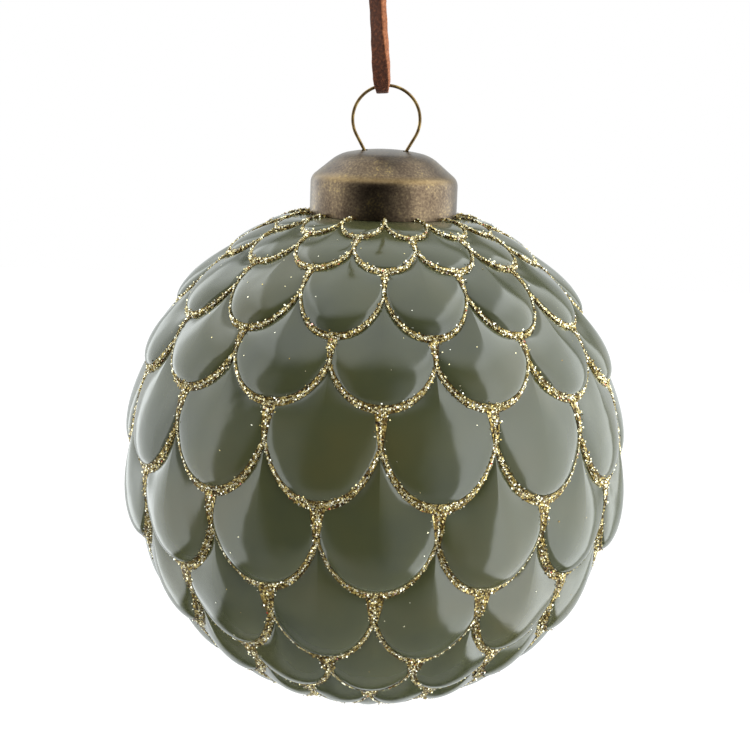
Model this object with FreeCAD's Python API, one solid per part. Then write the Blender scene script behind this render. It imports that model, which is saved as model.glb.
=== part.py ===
import FreeCAD, Part
import math
import os

# A glass ball ornament pressed into overlapping scales, hung by a sprung brass cap and a suede lace.
# Millimetres and degrees, +Z up. The origin is the inside top of the wire ring, on the ball's axis.
# The ring lies in the XZ plane and azimuths run from -Y, the front, towards +X.

# Glass ball: the grooves lie on a slightly tall spheroid and each scale swells out from them
groove_radius = 38.7
groove_top_height = 39.9
groove_bottom_height = 40.7
glass_wall = 1.0
inner_follow = 0.8
scales_per_row = 14
pattern_turn = 1.2
top_row_span = 9.8
row_spacings = (11.2, 16.9, 15.0, 20.2, 18.8, 19.0, 14.8, 13.2, 10.4)
row_rises = (0.8, 0.9, 1.6, 1.8, 1.7, 2.4, 2.1, 1.7, 1.3, 1.0)
parting_share = 0.6
last_tip_radius = 8.6
bottom_disc_radius = 4.2
shoulder_drop = 0.6

# Half of a scale's lower edge: where its level part and its bend end, across, and the bend's climb
lip_level_end = 0.52
lip_bend_end = 0.84
lip_bend_climb = 0.43

# A scale's swelling, as shares of its row's rise: seven places down it and four across to its side
swell_places = (0.0, 0.14, 0.38, 0.64, 0.86, 0.97, 1.0)
swell_down = (0.0, 0.22, 0.62, 1.0, 1.22, 0.78, 0.0)
swell_across = (1.0, 1.0, 0.66, 0.0)
swell_knots = (0, 0.35, 0.65, 0.85, 1)
droop_fade = 4

# Glass neck, hidden by the cap
neck_radius = 9.4
neck_height = 5.0
neck_wall = 1.0

# Pressed brass cap
cap_radius = 11.66
cap_skirt = 5.8
cap_height = 10.4
cap_crown_radius = 7.3
cap_crown_rise = 0.95
cap_sheet = 0.35
cap_shoulder_fillet = 2.0
cap_crown_fillet = 6.0
cap_seat_gap = 0.05
slit_length = 3.8
slit_clearance = 0.2

# Wire ring, whose legs spring out inside the neck
wire_diameter = 0.5
ring_radius = 5.3
ring_lift = 4.65
slit_offset = 3.35
leg_bend_radius = 1.6
leg_depth = 9.8
leg_end_clearance = 0.15

# Glitter glued along the grooves
glitter_width = 1.3
glitter_lift = 0.15
crest_height = 0.3
glitter_end_gap = 0.2
edge_bead_end = 0.9
edge_bead_steps = 5
side_bead_steps = 3

# Suede lace, doubled through the ring and knotted above
lace_width = 2.7
lace_thickness = 1.4
lace_clearance = 0.06
lace_lean = 5.0
lace_height = 44.0
knot_width = 8.4
knot_depth = 7.6
knot_height = 8.8
knot_ball_height = 9.7
tail_length = 9.0
tail_spread = 14.0

wire_radius = wire_diameter / 2
ring_centre_z = wire_radius - ring_radius
cap_top_z = ring_centre_z - ring_lift
shoulder_z = cap_top_z - cap_height - cap_seat_gap
half_step = 180.0 / scales_per_row


def cosd(angle):
    return math.cos(math.radians(angle))


def sind(angle):
    return math.sin(math.radians(angle))


def on_axis(radius, height):
    """A point of the XZ half plane, for a profile that is turned about the Z axis."""
    return FreeCAD.Vector(radius, 0, height)


def turned(points):
    """The surface that an open line of points makes when it is turned about the Z axis."""
    wire = Part.makePolygon(points)
    return wire.revolve(FreeCAD.Vector(0, 0, 0), FreeCAD.Vector(0, 0, 1), 360)


class ScaleSkin:
    """One side of the blown wall: a spheroid whose scales swell out between shared groove lines.

    inset moves the skin inwards from the outer groove floor, and follow is how much of each
    row's rise it takes."""

    def __init__(self, inset, follow):
        self.radius = groove_radius - inset
        self.top_height = groove_top_height - inset
        self.bottom_height = groove_bottom_height - inset
        self.rises = [follow * rise for rise in row_rises] + [0.0]
        self.shoulder_radius = cap_radius + cap_seat_gap - inset
        top = math.degrees(math.acos(self.shoulder_radius / (self.radius - shoulder_drop)))
        bottom = -math.degrees(math.acos(bottom_disc_radius / self.radius))
        last_tip = -math.degrees(math.acos(last_tip_radius / self.radius))
        first_tip = top - top_row_span
        self.tips = [top, first_tip]
        for spacing in row_spacings:
            share = spacing / sum(row_spacings)
            self.tips.append(self.tips[-1] + share * (last_tip - first_tip))
        self.partings = [top]
        for upper, lower in zip(self.tips, self.tips[1:]):
            self.partings.append(lower + parting_share * (upper - lower))
        self.tips.append(bottom)
        self.partings.append(bottom)

    def point(self, azimuth, latitude, height):
        """A point at a height over the groove floor, before the skin is moved to its place."""
        across = (self.radius + height) * cosd(latitude)
        half_height = self.top_height if latitude > 0 else self.bottom_height
        up = (half_height + height) * sind(latitude)
        return FreeCAD.Vector(across * sind(azimuth), -across * cosd(azimuth), up)

    def lip(self, row):
        """Four poles of half the lower edge of a scale, from its tip to where it leaves its neighbour.

        Each pole is an azimuth, in half steps, and a latitude. The edge is level at the tip and
        steep, but not upright, at the parting."""
        tip = self.tips[row]
        climb = self.partings[row] - tip
        return [
            (0.0, tip),
            (lip_level_end, tip),
            (lip_bend_end, tip + lip_bend_climb * climb),
            (1.0, tip + climb),
        ]

    def half_scale(self, row, middle, side):
        """Half of one scale, from its middle line (u=0) to its neighbour's side (u=1), with v
        running down from the edges of the scales above to its own lower edge.

        The poles beside a middle line stand out into the plane that touches the skin there, so
        that the two halves meet smoothly: the second column's beside this scale's own line, and
        the third's beside that of the scales above or below."""
        above = [(1.0 - across, latitude) for across, latitude in reversed(self.lip(row - 1))]
        below = self.lip(row)
        rise = self.rises[row - 1]
        droop = above[0][1] - above[1][1]
        poles = []
        for column in range(4):
            line = []
            for share, swelling in zip(swell_places, swell_down):
                start, end = above[column], below[column]
                across = (1 - share) * start[0] + share * end[0]
                latitude = (1 - share) * start[1] + share * end[1]
                if column == 1:
                    middle_latitude = (1 - share) * above[0][1] + share * below[0][1]
                    latitude = middle_latitude - droop * (1 - share) ** droop_fade
                drop = shoulder_drop * (1 - share) if row == 1 else 0.0
                height = rise * swelling * swell_across[column] - drop
                azimuth = middle + side * across * half_step
                pole = self.point(azimuth, latitude, height)
                from_middle = (0.0, across, 1.0 - across, 0.0)[column]
                spread = 1 / cosd(from_middle * half_step)
                line.append(FreeCAD.Vector(pole.x * spread, pole.y * spread, pole.z))
            poles.append(line)
        surface = Part.BSplineSurface()
        surface.buildFromPolesMultsKnots(
            poles, (4, 4), (4, 1, 1, 1, 4), (0, 1), swell_knots, False, False, 3, 3
        )
        return surface

    def row_middles(self, row):
        """The azimuth of each scale's middle line in a row: rows alternate by half a step."""
        first = pattern_turn + half_step * (row % 2)
        return [first + 2 * half_step * scale for scale in range(scales_per_row)]

    def half_scales(self):
        """Every half scale as (row, side, surface), from under the cap to the bottom disc."""
        halves = []
        for row in range(1, len(self.tips)):
            for middle in self.row_middles(row):
                for side in (-1, 1):
                    halves.append((row, side, self.half_scale(row, middle, side)))
        return halves

    def rim_face(self, surfaces, v_side, hole_radius):
        """The flat face inside the first or last row's level edge, down to a hole, if any."""
        edges = [surface.vIso(v_side).toShape() for surface in surfaces]
        outline = Part.Wire(Part.__sortEdges__(edges))
        wires = [outline]
        if hole_radius:
            height = outline.BoundBox.Center.z
            circle = Part.makeCircle(hole_radius, FreeCAD.Vector(0, 0, height))
            wires.append(Part.Wire([circle]))
        return Part.makeFace(wires, "Part::FaceMakerBullseye")

    def faces(self, neck_hole):
        """All faces of the skin and the height of its flat shoulder."""
        halves = self.half_scales()
        last_row = len(self.tips) - 1
        top_face = self.rim_face([s for row, side, s in halves if row == 1], 0, neck_hole)
        bottom_face = self.rim_face([s for row, side, s in halves if row == last_row], 1, 0)
        faces = [surface.toShape() for row, side, surface in halves]
        return faces + [top_face, bottom_face], top_face.BoundBox.Center.z


def glass_ball(outer):
    """The blown shell: outer and inner scale skins joined by a plain neck."""
    inner = ScaleSkin(glass_wall, inner_follow)
    bore = neck_radius - neck_wall
    outer_faces, outer_top = outer.faces(neck_radius)
    inner_faces, inner_top = inner.faces(bore)
    neck_top = outer_top + neck_height
    neck = turned(
        [
            on_axis(neck_radius, outer_top),
            on_axis(neck_radius, neck_top),
            on_axis(bore, neck_top),
            on_axis(bore, inner_top),
        ]
    )
    compound = Part.makeCompound(outer_faces + inner_faces + neck.Faces)
    compound.sewShape(1e-4)
    ball = Part.Solid(compound.Shells[0])
    if ball.Volume < 0:
        ball.reverse()
    ball.translate(FreeCAD.Vector(0, 0, shoulder_z - outer_top))
    return ball, shoulder_z - outer_top


def lifted(surface, u, v):
    """A point just off a half scale, and the outward normal that it is lifted along."""
    on_glass = surface.value(u, v)
    normal = surface.normal(u, v)
    if normal.dot(on_glass) < 0:
        normal = -normal
    return on_glass + normal * glitter_lift, normal


def with_crest(first_lip, second_lip, first_normal, second_normal):
    """Both lips of a bead at one station and its crest, over the middle of the line between them."""
    outward = (first_normal + second_normal).normalize()
    return first_lip, second_lip, (first_lip + second_lip) * 0.5 + outward * crest_height


def edge_station(upper, lower, along):
    """Lips and crest of the bead at one place of a scale's lower edge."""
    reach = 0.5 * glitter_width
    up_share = reach / upper.getDN(along, 1, 0, 1).Length
    down_share = reach / lower.getDN(1 - along, 0, 0, 1).Length
    first_lip, first_normal = lifted(upper, along, 1 - up_share)
    second_lip, second_normal = lifted(lower, 1 - along, down_share)
    return with_crest(first_lip, second_lip, first_normal, second_normal)


def side_station(left, right, down):
    """Lips and crest of the bead at one place between two neighbours of a row."""
    share = 0.5 * glitter_width / left.getDN(1, down, 1, 0).Length
    first_lip, first_normal = lifted(left, 1 - share, down)
    second_lip, second_normal = lifted(right, 1 - share, down)
    return with_crest(first_lip, second_lip, first_normal, second_normal)


def bead(stations):
    """A closed bead with three ruled sides through its stations and a flat triangle at each end."""
    rails = []
    for corner in range(3):
        curve = Part.BSplineCurve()
        curve.interpolate([station[corner] for station in stations])
        rails.append(curve.toShape())
    faces = [Part.makeRuledSurface(rails[i], rails[(i + 1) % 3]) for i in range(3)]
    for end in (stations[0], stations[-1]):
        faces.append(Part.Face(Part.makePolygon([end[0], end[1], end[2], end[0]])))
    skin = Part.makeCompound(faces)
    skin.sewShape(1e-5)
    solid = Part.Solid(skin.Shells[0])
    if solid.Volume < 0:
        solid.reverse()
    return solid


def edge_bead(skin, row, middle):
    """The bead under one scale, from parting to parting through the tip."""
    stations = []
    for side in (-1, 1):
        upper = skin.half_scale(row, middle, side)
        lower = skin.half_scale(row + 1, middle + side * half_step, -side)
        places = [edge_bead_end * i / edge_bead_steps for i in range(edge_bead_steps + 1)]
        half = [edge_station(upper, lower, place) for place in places]
        stations = half[::-1] + stations if side == -1 else stations + half[1:]
    return bead(stations)


def side_bead(skin, row, middle):
    """The short bead between a scale and its right-hand neighbour."""
    left = skin.half_scale(row, middle, 1)
    right = skin.half_scale(row, middle + 2 * half_step, -1)
    length = left.value(1, 0).distanceToPoint(left.value(1, 1))
    start = (0.5 * glitter_width + glitter_lift + glitter_end_gap) / length
    end = 1 - (0.5 * glitter_width + glitter_end_gap) / length
    places = [start + (end - start) * i / side_bead_steps for i in range(side_bead_steps + 1)]
    return bead([side_station(left, right, place) for place in places])


def glitter_lines(skin, centre_z):
    """Every bead of glitter, as separate solids that follow the grooves."""
    beads = []
    for row in range(1, len(skin.tips) - 1):
        for middle in skin.row_middles(row):
            beads.append(edge_bead(skin, row, middle))
            beads.append(side_bead(skin, row, middle))
    lines = Part.makeCompound(beads)
    lines.translate(FreeCAD.Vector(0, 0, centre_z))
    return lines


def crown_curve():
    """The radius of the crown's curve, which is level on the axis and falls by the crown's rise."""
    return (cap_crown_radius**2 + cap_crown_rise**2) / (2 * cap_crown_rise)


def crown_fall(distance):
    """How far the crown has fallen at a distance from the axis."""
    curve = crown_curve()
    return curve - math.sqrt(curve**2 - distance**2)


def cap_form(inset):
    """A solid bell: a straight skirt, a cone and a low domed crown, its two edges rounded.

    inset moves its skirt and crown inwards from the cap's outer faces."""
    radius = cap_radius - inset
    top = cap_height - inset
    crown_z = top - cap_crown_rise
    corners = [on_axis(0, 0), on_axis(radius, 0), on_axis(radius, cap_skirt)]
    corners.append(on_axis(cap_crown_radius, crown_z))
    edges = [Part.LineSegment(*pair).toShape() for pair in zip(corners, corners[1:])]
    halfway = cap_crown_radius / 2
    crown_middle = on_axis(halfway, top - crown_fall(halfway))
    edges.append(Part.Arc(corners[-1], crown_middle, on_axis(0, top)).toShape())
    edges.append(Part.LineSegment(on_axis(0, top), on_axis(0, 0)).toShape())
    bell = Part.Face(Part.Wire(edges))
    bell = bell.revolve(FreeCAD.Vector(0, 0, 0), FreeCAD.Vector(0, 0, 1), 360)
    for edge_radius, edge_z, fillet in (
        (radius, cap_skirt, cap_shoulder_fillet - inset),
        (cap_crown_radius, crown_z, cap_crown_fillet - inset),
    ):
        edges = [
            edge
            for edge in bell.Edges
            if edge.Closed and abs(edge.BoundBox.ZMin - edge_z) < 1e-3 and
            abs(edge.BoundBox.ZMax - edge_z) < 1e-3 and abs(edge.BoundBox.XMax - edge_radius) < 1e-3
        ]
        bell = bell.makeFillet(fillet, edges)
    return bell


def ring_arm():
    """Where the right arm leaves the eye, where it enters the cap, and its direction there."""
    centre = FreeCAD.Vector(0, 0, ring_centre_z)
    entry = FreeCAD.Vector(slit_offset, 0, cap_top_z - crown_fall(slit_offset))
    from_centre = entry - centre
    swing = math.acos(ring_radius / from_centre.Length)
    leaving = math.atan2(from_centre.z, from_centre.x) + swing
    touch = centre + FreeCAD.Vector(math.cos(leaving), 0, math.sin(leaving)) * ring_radius
    return touch, entry, (entry - touch).normalize()


def cap():
    """The pressed cap, open below, with a slit for each leg of the ring."""
    shell = cap_form(0.0).cut(cap_form(cap_sheet))
    touch, entry, straight = ring_arm()
    slit_middle = entry.x + straight.x * cap_sheet / 2
    width = wire_diameter + 2 * slit_clearance
    for side in (-1, 1):
        corner = FreeCAD.Vector(side * slit_middle - width / 2, -slit_length / 2, cap_skirt)
        shell = shell.cut(Part.makeBox(width, slit_length, cap_height, corner))
    shell.translate(FreeCAD.Vector(0, 0, cap_top_z - cap_height))
    return shell


def rounded_path(points, radii):
    """Straight edges through points, joined at each inner point by an arc of its own radius."""
    edges = []
    start = points[0]
    for before, corner, after, radius in zip(points, points[1:], points[2:], radii):
        incoming = (corner - before).normalize()
        outgoing = (after - corner).normalize()
        turn = incoming.getAngle(outgoing)
        setback = radius * math.tan(turn / 2)
        arc_start = corner - incoming * setback
        arc_end = corner + outgoing * setback
        inward = (outgoing - incoming).normalize()
        middle = corner + inward * (radius / math.cos(turn / 2) - radius)
        edges.append(Part.LineSegment(start, arc_start).toShape())
        edges.append(Part.Arc(arc_start, middle, arc_end).toShape())
        start = arc_end
    edges.append(Part.LineSegment(start, points[-1]).toShape())
    return edges


def hanger_wire():
    """One bent wire: the round eye, two arms through the slits and two legs sprung in the neck."""
    touch, entry, straight = ring_arm()
    knee = entry + straight * (cap_sheet + leg_bend_radius)
    foot_x = neck_radius - neck_wall - wire_radius - leg_end_clearance
    foot = FreeCAD.Vector(foot_x, 0, cap_top_z - leg_depth)
    right = rounded_path([touch, knee, foot], [leg_bend_radius])
    left = rounded_path([FreeCAD.Vector(-p.x, 0, p.z) for p in (touch, knee, foot)], [leg_bend_radius])
    over = FreeCAD.Vector(0, 0, ring_centre_z + ring_radius)
    eye = Part.Arc(touch, over, FreeCAD.Vector(-touch.x, 0, touch.z)).toShape()
    path = Part.Wire(Part.__sortEdges__(right + [eye] + left))
    direction = (foot - knee).normalize()
    section = Part.Wire([Part.makeCircle(wire_radius, foot, direction)])
    wire = path.makePipeShell([section], True, False)
    print("wire volume over section times length", wire.Volume / (math.pi * wire_radius**2 * path.Length))
    return wire


def lace_fold_radius():
    """The lace's inner bend: round the wire, and clear of how far the ring drops under its width."""
    drop = ring_radius - math.sqrt(ring_radius**2 - (lace_width / 2) ** 2)
    return wire_radius + drop + lace_clearance


def in_lace_place(shape):
    """Leans a shape that was made upright about the ring's wire, where the lace hangs across it."""
    centre = FreeCAD.Vector(0, 0, ring_centre_z)
    shape.rotate(centre, FreeCAD.Vector(0, 1, 0), -lace_lean)
    return shape


def suede_lace():
    """The doubled lace: two strands up from a fold under the ring's wire, to the knot's foot."""
    wire_z = wire_radius
    inner = lace_fold_radius()
    outer = inner + lace_thickness
    top = lace_height
    x = -lace_width / 2

    def bow(radius):
        """The half circle of one side of the fold, and its two ends."""
        start = FreeCAD.Vector(x, -radius, wire_z)
        middle = FreeCAD.Vector(x, 0, wire_z - radius)
        end = FreeCAD.Vector(x, radius, wire_z)
        return start, end, Part.Arc(start, middle, end).toShape()

    outer_start, outer_end, outer_bow = bow(outer)
    inner_start, inner_end, inner_bow = bow(inner)

    def up(point):
        """The point of the strand's top over a point of the fold."""
        return FreeCAD.Vector(point.x, point.y, top)

    def line(start, end):
        """A straight edge."""
        return Part.LineSegment(start, end).toShape()

    outline = [
        outer_bow,
        line(outer_end, up(outer_end)),
        line(up(outer_end), up(inner_end)),
        line(up(inner_end), inner_end),
        inner_bow,
        line(inner_start, up(inner_start)),
        line(up(inner_start), up(outer_start)),
        line(up(outer_start), outer_start),
    ]
    face = Part.Face(Part.Wire(Part.__sortEdges__(outline)))
    lace = face.extrude(FreeCAD.Vector(lace_width, 0, 0))
    middle_radius = inner + lace_thickness / 2
    length = 2 * (top - wire_z) + math.pi * middle_radius
    print("lace bend radius", middle_radius, "length", length)
    print("lace volume over section times length", lace.Volume / (length * lace_width * lace_thickness))
    return in_lace_place(lace)


def lace_knot():
    """The overhand knot that ties both ends, flat below where the strands meet it, with two tails."""
    middle = lace_height + knot_height / 2
    ball = Part.makeSphere(0.5)
    stretch = FreeCAD.Matrix()
    stretch.scale(knot_width, knot_depth, knot_ball_height)
    knot = ball.transformGeometry(stretch)
    knot.translate(FreeCAD.Vector(0, 0, middle))
    for side in (-1, 1):
        tail = Part.makeBox(
            lace_width,
            lace_thickness,
            tail_length + knot_height / 2,
            FreeCAD.Vector(-lace_width / 2, -lace_thickness / 2, 0),
        )
        tail.rotate(FreeCAD.Vector(0, 0, 0), FreeCAD.Vector(0, 1, 0), side * tail_spread)
        tail.translate(FreeCAD.Vector(side * lace_width / 3, side * lace_thickness, middle))
        knot = knot.fuse(tail)
    below = Part.makeBox(
        4 * knot_width,
        4 * knot_depth,
        lace_height,
        FreeCAD.Vector(-2 * knot_width, -2 * knot_depth, 0),
    )
    return in_lace_place(knot.cut(below))


def main():
    os.makedirs("parts", exist_ok=True)
    outer = ScaleSkin(0.0, 1.0)
    ball, centre_z = glass_ball(outer)
    pieces = {
        "glass_ball": ball,
        "glitter_lines": glitter_lines(outer, centre_z),
        "cap": cap(),
        "hanger_wire": hanger_wire(),
        "suede_lace": suede_lace(),
        "lace_knot": lace_knot(),
    }
    for name, shape in pieces.items():
        box = shape.BoundBox
        print(name, "valid", shape.isValid(), "solids", len(shape.Solids), "volume", shape.Volume)
        print("   from", box.XMin, box.YMin, box.ZMin, "to", box.XMax, box.YMax, box.ZMax)
        shape.exportStep(f"parts/{name}.step")


main()
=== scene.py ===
import math

import bmesh
import bpy
import numpy as np
from mathutils import Matrix, Vector


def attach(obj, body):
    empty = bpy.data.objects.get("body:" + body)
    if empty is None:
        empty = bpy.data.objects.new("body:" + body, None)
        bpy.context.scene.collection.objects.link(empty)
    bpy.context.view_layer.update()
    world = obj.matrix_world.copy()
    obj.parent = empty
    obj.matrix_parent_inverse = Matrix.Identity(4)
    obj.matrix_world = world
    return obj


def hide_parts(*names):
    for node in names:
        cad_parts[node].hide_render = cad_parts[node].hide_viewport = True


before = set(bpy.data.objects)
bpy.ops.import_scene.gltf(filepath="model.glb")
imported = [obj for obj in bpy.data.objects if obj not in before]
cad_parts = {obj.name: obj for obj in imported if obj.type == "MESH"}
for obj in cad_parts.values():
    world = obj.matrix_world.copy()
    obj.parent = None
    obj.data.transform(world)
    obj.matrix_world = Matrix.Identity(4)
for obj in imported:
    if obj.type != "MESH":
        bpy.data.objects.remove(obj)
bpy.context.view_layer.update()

MM = 0.001
chance = np.random.default_rng(14)

# Glass ball, in millimetres and degrees: grooves on a slightly tall spheroid, scales between them
GROOVE_RADIUS = 38.7
GROOVE_TOP_HEIGHT = 39.9
GROOVE_BOTTOM_HEIGHT = 40.7
GLASS_WALL = 1.0
SCALES_PER_ROW = 14
PATTERN_TURN = 1.2
TOP_ROW_SPAN = 9.8
ROW_SPACINGS = (11.2, 16.9, 15.0, 20.2, 18.8, 19.0, 14.8, 13.2, 10.4)
ROW_RISES = (0.8, 0.9, 1.6, 1.8, 1.7, 2.4, 2.1, 1.7, 1.3, 1.0, 0.0)
PARTING_SHARE = 0.6
LAST_TIP_RADIUS = 8.6
BOTTOM_DISC_RADIUS = 4.2
SHOULDER_DROP = 0.6
LIP_LEVEL_END = 0.52
LIP_BEND_END = 0.84
LIP_BEND_CLIMB = 0.43
SWELL_PLACES = (0.0, 0.14, 0.38, 0.64, 0.86, 0.97, 1.0)
SWELL_DOWN = (0.0, 0.22, 0.62, 1.0, 1.2, 1.22, 1.2)
SWELL_KNOTS = (0.35, 0.65, 0.85)
DROOP_FADE = 4
CROWN_FALL = 0.46
CROWN_WIDTH = 0.4
CROWN_START = 0.3
SIDE_ROLL = 20
LIP_ROLL = 6
UNEVEN_RISE = 0.05
NECK_RADIUS = 9.4
NECK_HEIGHT = 5.0
NECK_WALL = 1.0
NECK_LIP = 0.3
INSIDE_NECK_DROP = 1.4
INSIDE_TOP_LATITUDE = 71
BOTTOM_DOME_FALL = 0.12

# Brass cap and the wire ring that springs into the neck
CAP_RADIUS = 11.66
CAP_SKIRT = 5.8
CAP_HEIGHT = 10.4
CAP_CROWN_RADIUS = 7.3
CAP_CROWN_RISE = 0.95
CAP_SHEET = 0.35
CAP_SHOULDER_FILLET = 2.0
CAP_CROWN_FILLET = 6.0
CAP_SEAT_GAP = 0.05
SLIT_LENGTH = 3.8
SLIT_WIDTH = 0.9
SLIT_CUT = 4.0
WIRE_RADIUS = 0.25
RING_RADIUS = 5.3
RING_LIFT = 4.65
SLIT_OFFSET = 3.35
LEG_BEND_RADIUS = 1.6
LEG_DEPTH = 9.8
LEG_END_CLEARANCE = 0.15

# Suede lace
LACE_WIDTH = 2.7
LACE_THICKNESS = 1.4
LACE_LEAN = 5.0
LACE_HEIGHT = 44.0
LACE_BEND = 1.185
LACE_SHIFT = -0.4
LACE_FOLD_RISE = 0.35
LACE_TURN_AT_FOLD = 14.0
LACE_TURN = 42.0
LACE_TURN_START = 0.5
LACE_TURN_RUN = 9.0
LACE_PINCH_RUN = 1.1
LACE_PINCH_WIDTH = 0.26
LACE_PINCH_THICKNESS = 0.35
LACE_CORNER = 0.32
KNOT_SIZE = (8.4, 7.6, 8.8)
KNOT_PITCH = 3.9
KNOT_ROUNDING = 5.6
KNOT_STRAND_OFFSET = 1.12
TAIL_LENGTH = 9.0
TAIL_SPREAD = 14.0

HALF_STEP = 180.0 / SCALES_PER_ROW
RING_CENTRE_Z = WIRE_RADIUS - RING_RADIUS
CAP_TOP_Z = RING_CENTRE_Z - RING_LIFT
SHOULDER_Z = CAP_TOP_Z - CAP_HEIGHT - CAP_SEAT_GAP
CROWN_CURVE = (CAP_CROWN_RADIUS**2 + CAP_CROWN_RISE**2) / (2 * CAP_CROWN_RISE)

# Painted light on the cap: a painted gold highlight along the shoulder, and a painted dark
# reflection in front
SHOULDER_HIGHLIGHT_RISE = 0.35
SHOULDER_HIGHLIGHT_REACH = 0.9
# where the painted dark reflection darkens the cap, and how far it reaches
DARK_REFLECTION_PLACE = (0.9, -8.0, CAP_TOP_Z - 1.6)
DARK_REFLECTION_REACH = 3.2


def linear(colour):
    """A hex sRGB colour as linear red, green and blue, with an alpha of one."""
    channels = [int(colour[i : i + 2], 16) / 255 for i in (1, 3, 5)]
    straight = [c / 12.92 if c <= 0.04045 else ((c + 0.055) / 1.055) ** 2.4 for c in channels]
    return (*straight, 1.0)


def node(tree, kind, inputs=None, **settings):
    """Adds one node: settings are its properties, and inputs are values or sockets to link."""
    made = tree.nodes.new(kind)
    for name, value in settings.items():
        setattr(made, name, value)
    for name, value in (inputs or {}).items():
        if isinstance(value, bpy.types.NodeSocket):
            tree.links.new(value, made.inputs[name])
        else:
            made.inputs[name].default_value = value
    return made


def new_material(name):
    """An empty material with its output node, and its node tree."""
    material = bpy.data.materials.new(name)
    material.use_nodes = True
    tree = material.node_tree
    tree.nodes.clear()
    return material, tree


def ramp(tree, factor, stops):
    """A colour ramp from (place, hex colour) stops, driven by a socket."""
    made = node(tree, "ShaderNodeValToRGB", {"Fac": factor})
    elements = made.color_ramp.elements
    while len(elements) < len(stops):
        elements.new(0.5)
    for element, (place, colour) in zip(elements, stops):
        element.position = place
        element.color = linear(colour)
    return made.outputs["Color"]


def piece_from(name, points, faces, material):
    """A mesh object at the origin from points in millimetres and rows of vertex numbers."""
    mesh = bpy.data.meshes.new(name)
    mesh.from_pydata((np.asarray(points) * MM).tolist(), [], np.asarray(faces).tolist())
    mesh.materials.append(material)
    mesh.shade_smooth()
    made = bpy.data.objects.new(name, mesh)
    bpy.context.scene.collection.objects.link(made)
    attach(made, "root")
    return made


def weld(mesh, distance):
    """Merges vertices closer than a distance in millimetres and turns every face outwards."""
    work = bmesh.new()
    work.from_mesh(mesh)
    bmesh.ops.remove_doubles(work, verts=work.verts, dist=distance * MM)
    bmesh.ops.recalc_face_normals(work, faces=work.faces)
    work.to_mesh(mesh)
    work.free()
    mesh.shade_smooth()


def grid_faces(rows, columns, close_rows=False, close_columns=False):
    """Quads of a grid of points stored row by row, with either direction closed on itself."""
    down = np.arange(rows if close_rows else rows - 1)
    along = np.arange(columns if close_columns else columns - 1)
    first, second = np.meshgrid(down, along, indexing="ij")
    below = (first + 1) % rows
    after = (second + 1) % columns
    corners = [first * columns + second, first * columns + after]
    corners += [below * columns + after, below * columns + second]
    return np.stack(corners, -1).reshape(-1, 4)


def many_grids(grids):
    """Points and quads of equal open grids, from an array of grid, row, column and coordinate."""
    count, rows, columns = grids.shape[:3]
    faces = grid_faces(rows, columns)
    starts = np.arange(count)[:, None, None] * rows * columns
    return grids.reshape(-1, 3), (faces[None] + starts).reshape(-1, 4)


def turned_about_z(points, degrees):
    """Points turned about the Z axis, as azimuths run, from -Y towards +X."""
    angle = np.radians(degrees)
    x, y, z = points[..., 0], points[..., 1], points[..., 2]
    across = x * np.cos(angle) - y * np.sin(angle)
    back = x * np.sin(angle) + y * np.cos(angle)
    return np.stack([across, back, z + 0 * across], -1)


def unit(vectors):
    """Vectors at length one."""
    return vectors / np.maximum(np.linalg.norm(vectors, axis=-1, keepdims=True), 1e-12)


def spline_weights(places, inner_knots=()):
    """Weights of cubic B-spline poles at places from 0 to 1, built up degree by degree: each
    weight is its two lower ones, faded in and out across their spans of knots."""
    knots = np.concatenate([np.zeros(4), inner_knots, np.ones(4)])
    place = np.clip(np.asarray(places, float), 0, 1 - 1e-9)[..., None]
    weights = ((knots[:-1] <= place) & (place < knots[1:])).astype(float)
    for degree in (1, 2, 3):
        span = knots[degree:-1] - knots[: -degree - 1]
        next_span = knots[degree + 1 :] - knots[1:-degree]
        rising = (place - knots[: -degree - 1]) / np.where(span > 0, span, np.inf)
        falling = (knots[degree + 1 :] - place) / np.where(next_span > 0, next_span, np.inf)
        weights = rising * weights[..., :-1] + falling * weights[..., 1:]
    return weights


def row_latitudes():
    """Latitudes of the tips and partings of each row, from under the cap to the bottom disc.

    A tip is the lowest place of a row's scales, and a parting is where two neighbours leave each
    other, at a set share of the way up to the tips of the row above."""
    shoulder_radius = CAP_RADIUS + CAP_SEAT_GAP
    top = math.degrees(math.acos(shoulder_radius / (GROOVE_RADIUS - SHOULDER_DROP)))
    bottom = -math.degrees(math.acos(BOTTOM_DISC_RADIUS / GROOVE_RADIUS))
    last_tip = -math.degrees(math.acos(LAST_TIP_RADIUS / GROOVE_RADIUS))
    first_tip = top - TOP_ROW_SPAN
    shares = np.cumsum(ROW_SPACINGS) / np.sum(ROW_SPACINGS)
    tips = np.concatenate([[top, first_tip], first_tip + shares * (last_tip - first_tip)])
    partings = tips[1:] + PARTING_SHARE * (tips[:-1] - tips[1:])
    return np.append(tips, bottom), np.concatenate([[top], partings, [bottom]])


TIPS, PARTINGS = row_latitudes()
ROWS = range(1, len(TIPS))
GLITTER_ROWS = range(1, len(TIPS) - 1)


def on_spheroid(azimuth, latitude, height):
    """A point at a height over the groove floor, before the ball is moved to its place."""
    across = (GROOVE_RADIUS + height) * math.cos(math.radians(latitude))
    half_height = GROOVE_TOP_HEIGHT if latitude > 0 else GROOVE_BOTTOM_HEIGHT
    up = (half_height + height) * math.sin(math.radians(latitude))
    angle = math.radians(azimuth)
    return across * math.sin(angle), -across * math.cos(angle), up


def lip(row):
    """Four poles, as (half steps, latitude), of half a scale's lower edge, from tip to parting."""
    tip = TIPS[row]
    climb = PARTINGS[row] - tip
    bend = tip + LIP_BEND_CLIMB * climb
    return [(0.0, tip), (LIP_LEVEL_END, tip), (LIP_BEND_END, bend), (1.0, tip + climb)]


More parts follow.
